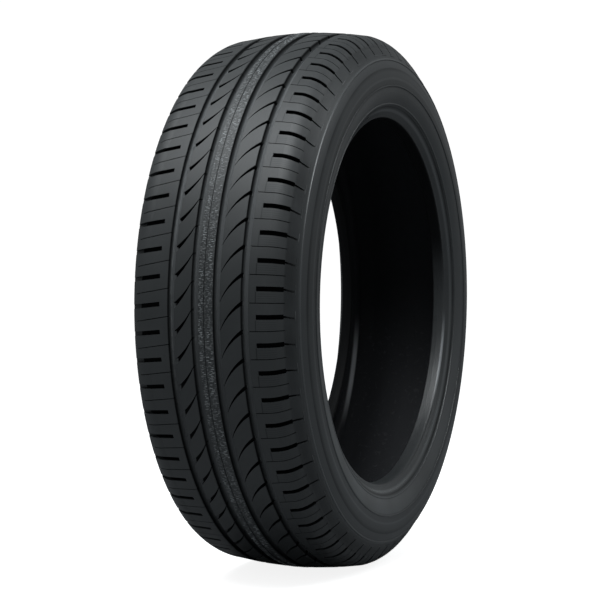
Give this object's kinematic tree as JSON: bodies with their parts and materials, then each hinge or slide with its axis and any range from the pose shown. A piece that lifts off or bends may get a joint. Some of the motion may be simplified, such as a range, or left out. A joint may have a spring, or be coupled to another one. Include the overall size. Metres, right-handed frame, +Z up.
{
  "type": "car tyre",
  "caption": "Unmounted radial car tyre standing on its tread, with straight grooves, shoulder slots, curved strokes and sipes.",
  "frame": {"origin": "on the tyre's axis, midway between the two bead faces", "axes": "+Y along the tyre's axis towards the bulging near wall, +Z up from the contact flat, +X forward along the rolling direction"},
  "size_m": [0.6464, 0.1944, 0.646],
  "materials": {
    "tyre": "satin"
  },
  "bodies": {
    "root": {"tyre": "tyre"}
  },
  "joints": []
}
